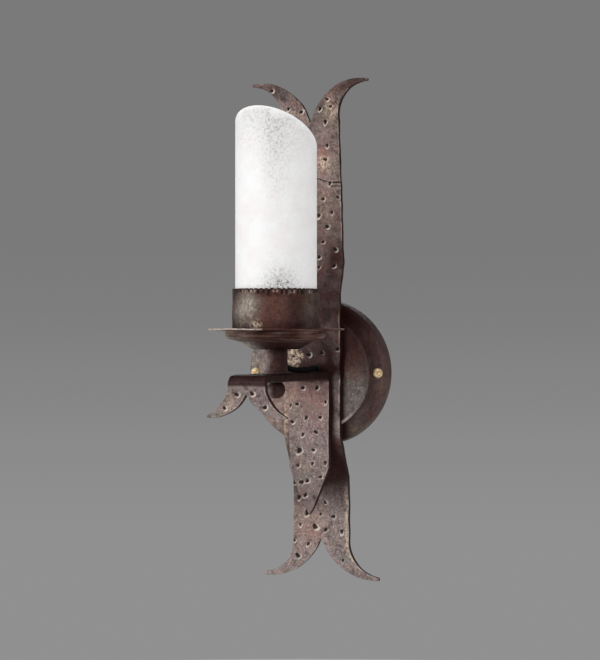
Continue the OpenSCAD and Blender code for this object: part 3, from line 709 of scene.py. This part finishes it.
def arm_worn(place):
    """The leg is rubbed grey, its top isn't."""
    return (place[:, 2] < -3) * on_front(place, (0, -40, 60, 40, 0.75), (0, -90, 40, 30, 0.35))


def arm_gilt(place):
    return on_front(place, (-14, -20, 6, 12, 0.4), (-3, -74, 10, 14, 0.2))


def arm_rosy(place):
    """Redder on the leg, not on the drop in front of it."""
    return (place[:, 1] > -100) * on_front(
        place, (-16, -14, 10, 10, 0.2), (0, -16, 20, 10, 0.3), (6, -30, 14, 16, 0.35))


def arm_maroon(place):
    """Deep red on the arm's top and its front edge, running down into painted shade under the
    bend.
    """
    return 0.95 * np.clip((place[:, 2] + 7.6) / 1.6, 0, 1)


forge("back_strap", 21, strap_marks, strap_worn, strap_gilt, strap_rosy, strap_maroon,
      strap_borders, strap_seat, strap_draw)
forge("arm_bracket", 34, arm_marks, arm_worn, arm_gilt, arm_rosy, arm_maroon, arm_borders,
      draw=fork_draw)


# ---- Turned and spun pieces ----

def rounded_ring(bm, radius, height, size):
    """Rounds the one ring of edges at a radius and height."""
    rounded(bm, [e for e in bm.edges if all(
        abs(math.hypot(v.co.x, v.co.y) / MM - radius) < 0.01
        and abs(v.co.z / MM - height) < 0.01 for v in e.verts)], size, 5)


DRILL_LENGTH = 100


def drilled(piece, holes):
    """Drills (x, z, radius) holes through a piece along the way out of the wall."""
    bm = bmesh.new()
    for x, z, radius in holes:
        bmesh.ops.create_cone(bm, cap_ends=True, segments=32, radius1=radius * MM,
                              radius2=radius * MM, depth=DRILL_LENGTH * MM, matrix=out_at(x, z))
    drill = placed("drill", mesh_from(bm, "drill"))
    cut = piece.modifiers.new("holes", "BOOLEAN")
    cut.operation, cut.solver, cut.object = "DIFFERENCE", "EXACT", drill
    mesh = settled(piece)
    piece.modifiers.clear()
    piece.data = mesh
    bpy.data.objects.remove(drill)


# Rose: a sheet pressed into a step and a boss. Its flats have rings for the colour fields.
ROSE_R, STEP, BOSS_R, BOSS, SHEET, EDGE_R = 58.5, 16.5, 47, 21.2, 1.2, 3
ROSE_HOLES = [(-52.75, 0, 2.3), (52.75, 0, 2.3),  # for its own screws
              (4, 3.4, 3.6),  # for the lead's grommet
              (0, -18, 2.8), (0, -38, 2.8)]  # for the arm's studs
BOSS_FROM = -19  # points on the boss have a Y beyond this

bm = turned([(ROSE_R, 0), (ROSE_R, STEP)] + [(55 - 1.1 * k, STEP) for k in range(7)]
            + [(BOSS_R, STEP), (BOSS_R, BOSS)] + [(43.5 - 1.5 * k, BOSS) for k in range(16)]
            + [(20, BOSS), (0, BOSS), (0, BOSS - SHEET), (BOSS_R - SHEET, BOSS - SHEET),
               (BOSS_R - SHEET, STEP - SHEET), (ROSE_R - SHEET, STEP - SHEET),
               (ROSE_R - SHEET, 0)], Matrix.Identity(4), 192)
for ring in ((ROSE_R, STEP, EDGE_R), (BOSS_R, BOSS, EDGE_R), (BOSS_R, STEP, 0.6),
             (BOSS_R - SHEET, BOSS - SHEET, EDGE_R - SHEET),
             (ROSE_R - SHEET, STEP - SHEET, EDGE_R - SHEET),
             (ROSE_R, 0, 0.3)):
    rounded_ring(bm, *ring)
bmesh.ops.transform(bm, matrix=out_at(0, 0), verts=bm.verts)
rose = finish(bm, "canopy")
drilled(rose, ROSE_HOLES)
place = points_of(rose.data)[0]
across, up = place[:, 0], place[:, 2]
on_boss = place[:, 1] < BOSS_FROM
boss_edge = np.exp(-((np.hypot(across, up) - BOSS_R + 1) / 1.1) ** 2)
drawn = np.array([noise.noise(Vector((x / 2.2, 0, z / 26)))
                  for x, z in zip(across.tolist(), up.tolist())])
# Painted light from the left: rubbed grey and painted light on the left and lower left, painted
# shade on the right, a painted highlight on the boss's edge at lower right, the pan's painted
# shadow on the upper boss and painted shade beside the strap's right side.
set_fields(
    rose.data,
    relief=boss_edge * on_boss * (0.12 + on_front(place, (28, -36, 9, 9, 0.8))),
    worn=0.08 + (0.8 + 0.7 * drawn) * on_front(
        place, (34, -18, 15, 20, 0.68), (-34, -24, 20, 24, 1.3), (-44, 6, 16, 24, 0.9))
    * np.clip(1.2 * on_boss + (across < 0), 0, 1),
    rosy=np.clip(0.4 * drawn, 0, 1) + on_front(
        place, (54, -14, 9, 34, 0.12), (-36, -20, 22, 34, 0.5), (33, 12, 8, 16, 0.6)),
    gilt=on_front(place, (33, -46, 12, 7, 0.35)),
    maroon=np.clip(0.5 * drawn, 0, 0.3) * (across > 0) + on_front(
        place, (32, 20, 18, 18, 0.7), (24.2, -4, 2.1, 60, 1.3), (34, 48, 34, 16, 1.0),
        (30, -52, 30, 8, 0.5), (50, 0, 6, 30, 0.3)))

# Plain lathe shapes, as (node, rounding, steps, profile from its own foot)
TURNED = [
    ("stem_washer", 0.4, 96, [(3.4, 0), (10, 0), (10, 2), (3.4, 2)]),
    ("stem_tube", 0.4, 96, [(3.2, 0), (8.7, 0), (8.7, 16.5), (5.1, 16.5), (5.1, 3.2), (3.2, 3.2)]),
    ("under_dish", 0.3, 128, [(5.3, 0), (18, 0), (27, 5.5), (25.1, 5.5), (17.3, 1.2),
                              (5.3, 1.2)]),
    ("hollow_nipple", 0.25, 64, [(3.5, 0), (5, 0), (5, 25.7), (3.5, 25.7)]),
    ("holder_base", 0.5, 96, [(5.1, 0), (12.5, 0), (12.5, 11), (8, 11), (8, 5.5), (5.1, 5.5)]),
    ("holder_shell", 0.5, 96, [(11, 0), (12.5, 0), (12.5, 33), (11, 33)]),
    ("centre_contact", 0.2, 48, [(0, 0), (3, 0), (3, 1.5), (0, 1.5)]),
    ("cap_insulator", 0.2, 64, [(0, 0), (3, 0), (5.5, 2), (0, 2)]),
    ("cap_contact", 0.6, 48, [(0, 0), (2.5, 0), (2.5, 2), (0, 2)]),
    ("felt_ring", 0.3, 128, [(24.3, 0), (30.3, 0), (30.3, 1.5), (24.3, 1.5)]),
]
for node, width, steps, profile in TURNED:
    bm = turned(profile, on_stem(height_of(node)[0]), steps)
    ease(bm, width)
    piece = finish(bm, node)
    place = points_of(piece.data)[0]
    # Painted light: each turned piece is painted lit and rubbed grey on its left and in painted
    # shade on its right.
    set_fields(piece.data, worn=round_stem(place, (-54, 20, 34, 60, 1.0)),
               maroon=np.clip(1.1 - np.abs(bearing(place) - 55) / 75, 0, 0.85))


def reshaped(bm, node, move):
    """Moves each point by move(radius, angle, height), which also gives the point's colour shift
    for the relief field, painted light included.
    """
    foot = height_of(node)[0]
    marks = bm.verts.layers.float.new("relief")
    for vert in bm.verts:
        x, y, z = vert.co.x / MM, vert.co.y / MM + STEM_DEPTH, vert.co.z / MM - foot
        radius, angle = math.hypot(x, y), math.atan2(y, x)
        out, up, vert[marks] = move(radius, angle, z)
        vert.co += Vector((out * math.cos(angle), out * math.sin(angle), up)) * MM
    bmesh.ops.recalc_face_normals(bm, faces=bm.faces)


NIPPLE_HOLE = 5.3  # radius of the hole in the pan and in the cup

# Drip pan with a thin, slightly wavy rim. Its bowl turns up on an arc to the flat of the rim.
PAN_R, LIP_R, PAN_T, BOTTOM_T = 51.4, 38.6, 1.1, 1.2
ARC_X, ARC_Z, ARC_R, ARC_INSIDE = 34.1, 6.4, 4.5, 0.733


def pan_wave(radius, angle, z):
    """Waves that grow from the bowl to the rim, whose edge gets a painted highlight on one side.
    """
    spot = Vector((math.cos(angle), math.sin(angle), 0))
    rim = max(0.0, (radius - 38) / 13)
    return (0.5 * rim * noise.noise(3 * spot),
            rim * (0.6 * noise.noise(2.2 * spot + Vector((3, 1, 0)))
                   + 0.25 * noise.noise(9 * spot + Vector((0, 5, 0)))),
            (radius > 49.5) * (0.75 if math.cos(angle + 2.3) > 0.6 else -0.05))


slope = [(27 + 8 * k / 4, 2.07 * k / 4) for k in range(5)]
arc = [(ARC_X + ARC_R * math.sin(math.radians(a)), ARC_Z - ARC_R * math.cos(math.radians(a)))
       for a in (16, 32, 48, 64, 80, 90)]
rim = [(LIP_R + (PAN_R - LIP_R) * k / 5, 8 + k / 5) for k in range(6)]
bm = turned([(NIPPLE_HOLE, 0), (15, 0)] + slope[:-1] + arc + rim
            + [(r, z + PAN_T) for r, z in rim[:0:-1]] + [(37.7, 9.2)]
            + [(ARC_X + (r - ARC_X) * ARC_INSIDE, ARC_Z + (z - ARC_Z) * ARC_INSIDE)
               for r, z in arc[::-1]]
            + [(r - 0.3, z + BOTTOM_T) for r, z in slope[-2::-1]]
            + [(15, BOTTOM_T), (NIPPLE_HOLE, BOTTOM_T)], on_stem(height_of("drip_pan")[0]), 256)
reshaped(bm, "drip_pan", pan_wave)
ease(bm, 0.35, 40)
pan = finish(bm, "drip_pan")
place = points_of(pan.data)[0]
# Lighter and darker streaks round the pan are painted sheen and shade, and the rim gets a painted
# highlight on its left.
streaks = np.array([noise.noise(Vector((turn / 25, z / 0.8, 0)))
                    for turn, z in zip(bearing(place).tolist(), place[:, 2].tolist())])
light, dark = np.clip(streaks, 0, 1), np.clip(-streaks, 0, 1)
set_fields(
    pan.data,
    worn=np.clip(0.8 * light + round_stem(
        place, (-62, 32, 32, 10, 0.9), (150, 32, 40, 10, 0.3)), 0, 1),
    rosy=0.2 + 0.5 * light,
    maroon=np.clip(1.2 * dark + round_stem(place, (10, 32, 36, 10, 0.45)), 0, 0.9))

# Cup: a rolled wall with short chisel cuts round its rim
CUP_R, CUP_H, CUP_T, CUP_FLOOR = 33, 38.8, 1.4, 3
CUTS, CUT_W, NOTCH_W, RIM_BAND = 48, 0.62, 0.9, 1.2
dice = random.Random(7)
cuts = [(dice.uniform(-0.12, 0.12), dice.uniform(3, 6), dice.uniform(0.5, 0.85),
         dice.uniform(-0.5, 0.45)) for _ in range(CUTS)]


def cup_chisel(radius, angle, z):
    """Chisel cuts in the outside, notches between the rim's teeth, and a slightly dented wall."""
    turn = angle / (2 * math.pi) * CUTS % CUTS
    shift, length, depth, shine = cuts[int(round(turn)) % CUTS]
    aside = (turn - round(turn) - shift) * 2 * math.pi * CUP_R / CUTS
    groove = math.exp(-(aside / CUT_W) ** 2) * min(1, max(0, (z - CUP_H + length) / RIM_BAND))
    outside = radius > CUP_R - 0.7
    spot = Vector((math.cos(angle), math.sin(angle), z / 30))
    dented = 0.25 * noise.noise(3 * spot) + 0.12 * noise.noise(8 * spot)
    notch = -1.0 * math.exp(-(aside / NOTCH_W) ** 2) if z > CUP_H - 0.3 else 0
    between = shine * (CUP_H - length < z < CUP_H - RIM_BAND)
    return (dented * (radius > 20) - depth * groove * outside, notch,
            (between - groove - 0.5 * (z > CUP_H - RIM_BAND)) * outside)


wall = [3.9, 6, 9, 12, 15, 18, 21, 24, 27, 30, 32] + [33 + 0.72 * k for k in range(9)]
bm = turned([(NIPPLE_HOLE, 0), (14, 0), (26.5, 0)] + [(CUP_R, z) for z in wall]
            + [(CUP_R - CUP_T, z) for z in wall[:1:-1]]
            + [(CUP_R - CUP_T, CUP_FLOOR), (14, CUP_FLOOR), (NIPPLE_HOLE, CUP_FLOOR)],
            on_stem(height_of("glass_cup")[0]), 480)
reshaped(bm, "glass_cup", cup_chisel)
ease(bm, 0.3, 50)
cup = finish(bm, "glass_cup")
place = points_of(cup.data)[0]
# Painted light on the cup's left and painted shade on its right, painted shade round its foot just
# above the pan's rim, and a painted highlight low on its front.
set_fields(
    cup.data,
    worn=round_stem(place, (-16, 52, 18, 11, 0.7), (-34, 46, 16, 9, 0.5), (70, 50, 16, 20, 0.2)),
    gilt=round_stem(place, (18, 46, 16, 12, 0.22), (-4, 38, 8, 3, 1.5), (-10, 54, 5, 4, 0.8)),
    rosy=round_stem(place, (16, 62, 16, 4, 0.4), (20, 48, 18, 14, 0.35)),
    maroon=round_stem(place, (52, 48, 20, 30, 0.6), (8, 61, 18, 4, 0.6), (20, 36, 40, 5, 0.5),
                      (16, 48, 14, 9, 0.45), (-60, 37, 30, 6, 0.5)))

# Ball under the arm, on its stud
BALL_R, STUD_R = 7, 2.9
ball = [(BALL_R * math.sin(math.radians(a)), -6.4 - BALL_R * math.cos(math.radians(a)))
        for a in range(0, 156, 6)]
bm = turned([(0, ball[0][1])] + ball[1:] + [(STUD_R, 0), (STUD_R, 10.4), (0, 10.4)],
            on_stem(height_of("arm_bracket")[1] - 5.5), 96)
ball = finish(bm, "ball_finial")
normal = points_of(ball.data)[1]
# Painted light: the ball's left is painted lit and its right painted in shade.
left = np.clip(-normal[:, 0] - 0.2 * normal[:, 1], 0, 1)
set_fields(ball.data, maroon=0.8 - 0.75 * left, worn=0.9 * left)

# Glass tube: spun too long, cut on the slant, with a fire-polished edge. The cut crosses the
# axis at CUT_H and falls towards the wall.
GLASS_R, GLASS_T, SPUN_H, CUT_H, CUT_TURN, CUT_TILT = 30.8, 3, 180, 150.7, -8, -30.5
RING_STEP = 7.5  # the wall has rings this far apart, for the colour field


def sliced(bm, middle, normal, **cut):
    """Cuts all of a shape along a plane."""
    bmesh.ops.bisect_plane(bm, geom=bm.verts[:] + bm.edges[:] + bm.faces[:], plane_co=middle,
                           plane_no=normal, **cut)


glass_low = height_of("glass_shade")[0]
cut_middle = on_stem(glass_low + CUT_H).translation
slant = (Matrix.Rotation(math.radians(CUT_TURN), 3, "Z")
         @ Matrix.Rotation(math.radians(CUT_TILT), 3, "X") @ Vector((0, 0, 1)))
bm = turned([(GLASS_R - GLASS_T, 0), (GLASS_R, 0), (GLASS_R, SPUN_H), (GLASS_R - GLASS_T, SPUN_H)],
            on_stem(glass_low), 192)
sliced(bm, cut_middle, slant, clear_outer=True)
bmesh.ops.bridge_loops(bm, edges=[e for e in bm.edges if e.is_boundary])
bmesh.ops.recalc_face_normals(bm, faces=bm.faces)
ease(bm, 0.7, segments=3)
for ring in range(1, int(SPUN_H / RING_STEP)):
    sliced(bm, on_stem(glass_low + RING_STEP * ring).translation, (0, 0, 1))
glass = finish(bm, "glass_shade")
place = points_of(glass.data)[0]
below_cut = (np.array(cut_middle) / MM - place) @ np.array(slant)
# Painted shade: the lampholder's shadow mottled grey low on the glass's front, and dim places near
# its top; the cut edge stays clear.
set_fields(glass.data, cloudy=np.clip(below_cut - 1.5, 0, 1) * (0.05 + round_stem(
    place, (14, 200, 70, 26, 0.6), (22, 168, 18, 30, 0.45), (29, 64, 20, 13, 1.4),
    (8, 62, 60, 5, 0.6))))

# Candle lamp: cap with a rolled thread, then a tall opal bulb
CAP_R, PITCH = 7, 2.8
BULB_H, NECK, SWELL = 81, 6.6, 13.16


def rolled_thread(radius, angle, z):
    """Presses a helical groove into the cap's wall."""
    ridge = 0.5 + 0.5 * math.sin(2 * math.pi * z / PITCH - angle)
    inside = 1.2 < z < 15.5
    return (-0.7 * (1 - ridge) * inside * (radius > CAP_R - 0.2), 0, 0)


bm = turned([(0, 0), (5.6, 0)] + [(CAP_R, 0.6 + 0.35 * k) for k in range(46)]
            + [(6.6, 17), (0, 17)], on_stem(height_of("lamp_cap")[0]), 96)
reshaped(bm, "lamp_cap", rolled_thread)
finish(bm, "lamp_cap")
bulb = [(NECK * (1 - t) + SWELL * math.sin(math.pi * t ** 0.72) ** 0.8, BULB_H * t)
        for t in [k / 60 for k in range(1, 60)]]
finish(turned([(0, 0), (NECK, 0)] + bulb + [(0, BULB_H)],
              on_stem(height_of("lamp_glass")[0]), 96), "lamp_glass")

# The sleeve that the lamp turns into is thin brass.
SLEEVE_R, SLEEVE_BORE = 8.05, 7.35
finish(turned([(SLEEVE_BORE, 0)] + [(SLEEVE_R, 0.4 * k) for k in range(46)]
              + [(SLEEVE_BORE, 18 - 0.4 * k) for k in range(46)],
              on_stem(height_of("lamp_thread")[0]), 96), "lamp_thread")

# Machined, cut and moulded pieces keep their solid's shape and get eased edges.
FLAT = 0.4  # degrees between two faces that are one
for node, width in (("wall_strip", 0.25), ("earth_screw", 0.3), ("canopy_screws", 0.2),
                    ("cable_grommet", 0.25), ("arm_studs", 0.3), ("stud_washers", 0.15),
                    ("stud_nuts", 0.3), ("terminal_block", 0.35), ("terminal_screws", 0.2),
                    ("block_screw", 0.2), ("nipple_nut", 0.3), ("holder_insert", 0.25)):
    bm = merged(node)
    bmesh.ops.dissolve_limit(bm, angle_limit=math.radians(FLAT), verts=bm.verts, edges=bm.edges,
                             use_dissolve_boundaries=False)
    ease(bm, width)
    finish(bm, node)


# ---- Wiring ----

SLEEVING, CORE = 4.2, 1.4  # outer diameters


def drawn_wire(node, runs, diameter):
    """Round wires through (x, depth, z) points."""
    curve = bpy.data.curves.new(node, "CURVE")
    curve.dimensions, curve.resolution_u = "3D", 10
    curve.bevel_depth, curve.bevel_resolution, curve.use_fill_caps = diameter / 2 * MM, 5, True
    for run in runs:
        spline = curve.splines.new("BEZIER")
        spline.bezier_points.add(len(run) - 1)
        for knot, (x, depth, z) in zip(spline.bezier_points, run):
            knot.co = Vector((x, -depth, z)) * MM
            knot.handle_left_type = knot.handle_right_type = "AUTO"
    wire = placed(node, curve)
    bm = bmesh.new()
    bm.from_mesh(settled(wire))
    bpy.data.objects.remove(wire)
    bmesh.ops.remove_doubles(bm, verts=bm.verts, dist=WELD)
    bmesh.ops.recalc_face_normals(bm, faces=bm.faces)
    finish(bm, node)


drawn_wire("lead_sleeve", [[
    (4, 15.5, 3.4), (4, 20, 3.4), (4, 27, 3.4), (4.8, 36, 3.3), (6.2, 47, 3.2), (6.6, 58, 3.2),
    (5, 68, 3.3), (2.4, 76, 4.4), (0.6, 83, 7), (0, 88, 8.3), (0, 92.1, 8.4)]], SLEEVING)
# Each of these cores has a run inside the rose and one up the stem, side by side with the other.
for node, side, start in (
        ("live_core", 1, [(3, 15.3, 3.5), (2.9, 14.5, 3.7), (1.6, 12.6, 7.2), (-1, 10.4, 10.6),
                          (-4, 8.4, 10.4), (-4.5, 8, 6.1)]),
        ("neutral_core", -1, [(4.8, 15.3, 3.5), (4.7, 14.5, 3.7), (3.6, 12.6, 8.6), (-1, 10, 15),
                              (-7.5, 8.4, 13), (-9.5, 8, 6.1)])):
    drawn_wire(node, [start, [
        (side, 92.4, 8.4), (side, 93.2, 8.5), (side, 94.8, 9.5), (1.1 * side, 96.2, 12),
        (1.2 * side, 96.7, 20), (1.3 * side, 96.7, 32), (2.6 * side, 96.7, 39.5),
        (3.5 * side, 96.7, 44.4)]], CORE)
drawn_wire("earth_core", [[(-4.5, 8, -6.1), (-4, 8.4, -10), (3, 9, -13), (11, 8, -9), (14, 6, -4),
                           (14, 5.3, 0)]], CORE)

# ---- Floor ----

FLOOR_R, FLOOR_Z = 6, -1.45  # in metres

bm = bmesh.new()
bmesh.ops.create_circle(bm, cap_ends=True, segments=96, radius=FLOOR_R,
                        matrix=Matrix.Translation((0, 0, FLOOR_Z)))
floor = placed("floor", mesh_from(bm, "floor"))
paint, tree, shader = new_material("matt_pale_floor_paint", Roughness=0.8)
tree.links.new(over(tree, linear("#C6C5C3"), linear("#C2C1BF"), noise_field(tree, 200, 0.2, 0.8)),
               shader.inputs["Base Color"])
floor.data.materials.append(paint)
